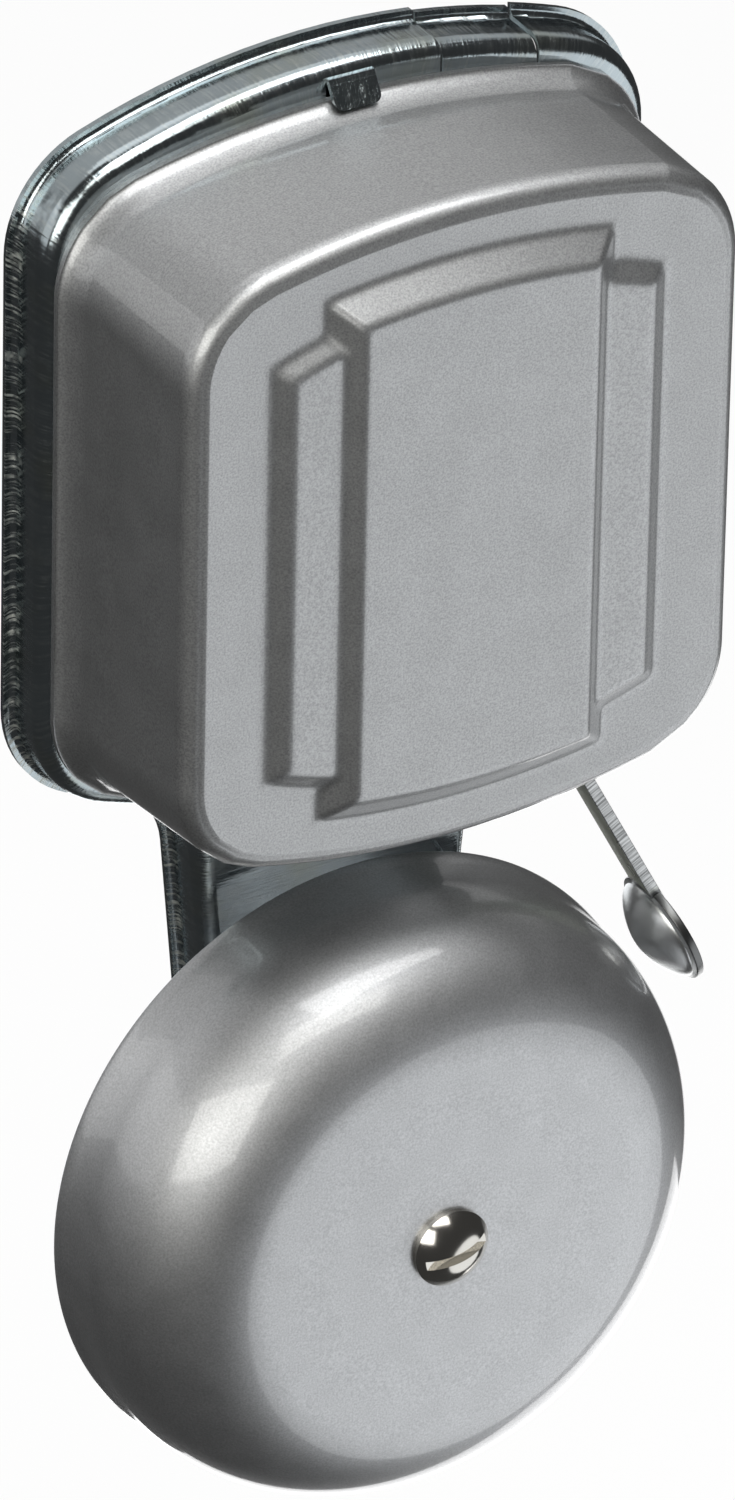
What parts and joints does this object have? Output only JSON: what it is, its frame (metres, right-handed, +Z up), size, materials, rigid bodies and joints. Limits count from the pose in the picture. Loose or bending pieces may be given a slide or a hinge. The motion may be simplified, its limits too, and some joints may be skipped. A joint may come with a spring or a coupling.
{
  "type": "electric door bell",
  "caption": "Wired trembler bell: stamped base pan with a neck, drawn silver cover with stepped relief, domed gong and a spoon hammer on a magnet movement.",
  "frame": {"origin": "on the wall plane, midway between the centres of the two mounting holes", "axes": "+Z up along the line of the two mounting holes, -Y out of the wall towards the viewer, +X to the right as seen from the front, where the hammer is"},
  "size_m": [0.0669, 0.0293, 0.1463],
  "materials": {
    "zinc_plate": "bright blue-tinted zinc plating over fine drawing lines",
    "silver_paint": "silver metallic lacquer with a fine pearl grain",
    "nickel": "polished nickel plating",
    "soft_iron": "zinc-plated soft iron, flat rolled",
    "spring_bronze": "rolled phosphor bronze",
    "brass": "plain turned and sheared brass",
    "silver": "fine silver contact metal",
    "copper_wire": "enamelled copper wire, close wound",
    "bobbin_plastic": "moulded natural nylon",
    "fibre": "pressed vulcanised fibre",
    "phenolic": "laminated phenolic board",
    "rubber": "soft black rubber",
    "lead_insulation": "coloured wire insulation"
  },
  "bodies": {
    "base": {"base_plate": "zinc_plate", "wire_grommet": "rubber", "gong": "silver_paint", "gong_post": "zinc_plate", "gong_washer": "fibre", "gong_screw": "nickel", "magnet_frame": "soft_iron", "core_upper": "soft_iron", "core_lower": "soft_iron", "bobbin_upper": "bobbin_plastic", "bobbin_lower": "bobbin_plastic", "winding_upper": "copper_wire", "winding_lower": "copper_wire", "spring_screws": "nickel", "hinge_spring": "spring_bronze", "contact_bracket": "brass", "contact_insulator": "fibre", "back_insulator": "fibre", "bracket_rivet": "brass", "terminal_plate": "phenolic", "terminal_rivet": "brass", "terminal_tab_left": "brass", "terminal_tab_right": "brass", "terminal_washer_left": "brass", "terminal_washer_right": "brass", "terminal_lead": "lead_insulation", "link_lead": "lead_insulation", "frame_lead": "lead_insulation", "contact_lead": "lead_insulation"},
    "hammer": {"armature": "soft_iron", "armature_rivets": "nickel", "hammer_arm": "zinc_plate", "arm_rivets": "nickel", "contact_spring": "spring_bronze", "spring_contact": "silver"},
    "cover": {"cover": "silver_paint"},
    "contact_screw": {"contact_screw": "nickel"},
    "lock_nut": {"lock_nut": "nickel"},
    "terminal_screw_left": {"terminal_screw_left": "nickel"},
    "terminal_screw_right": {"terminal_screw_right": "nickel"}
  },
  "joints": [
    {"name": "cover_lift", "type": "slide", "parent": "base", "child": "cover", "axis": [0, -0.866, -0.5], "range_m": [0, 0.04]},
    {"name": "armature_swing", "type": "hinge", "parent": "base", "child": "hammer", "pos_m": [0.0108, -0.0159, 0.0198], "axis": [0, 1, 0], "range_deg": [0, 1.2], "stiffness_Nm_per_rad": 0.4, "springref_deg": -1.15, "deforming": ["hinge_spring"]},
    {"name": "contact_screw_turn", "type": "hinge", "parent": "base", "child": "contact_screw", "pos_m": [0.022, -0.0184, -0.0064], "axis": [1, 0, 0], "continuous": true},
    {"name": "lock_nut_turn", "type": "hinge", "parent": "base", "child": "lock_nut", "pos_m": [0.0211, -0.0184, -0.0064], "axis": [1, 0, 0], "continuous": true},
    {"name": "terminal_left_turn", "type": "hinge", "parent": "base", "child": "terminal_screw_left", "pos_m": [-0.0201, -0.0085, -0.0242], "axis": [0, 1, 0], "continuous": true},
    {"name": "terminal_right_turn", "type": "hinge", "parent": "base", "child": "terminal_screw_right", "pos_m": [-0.0105, -0.0085, -0.0242], "axis": [0, 1, 0], "continuous": true}
  ]
}
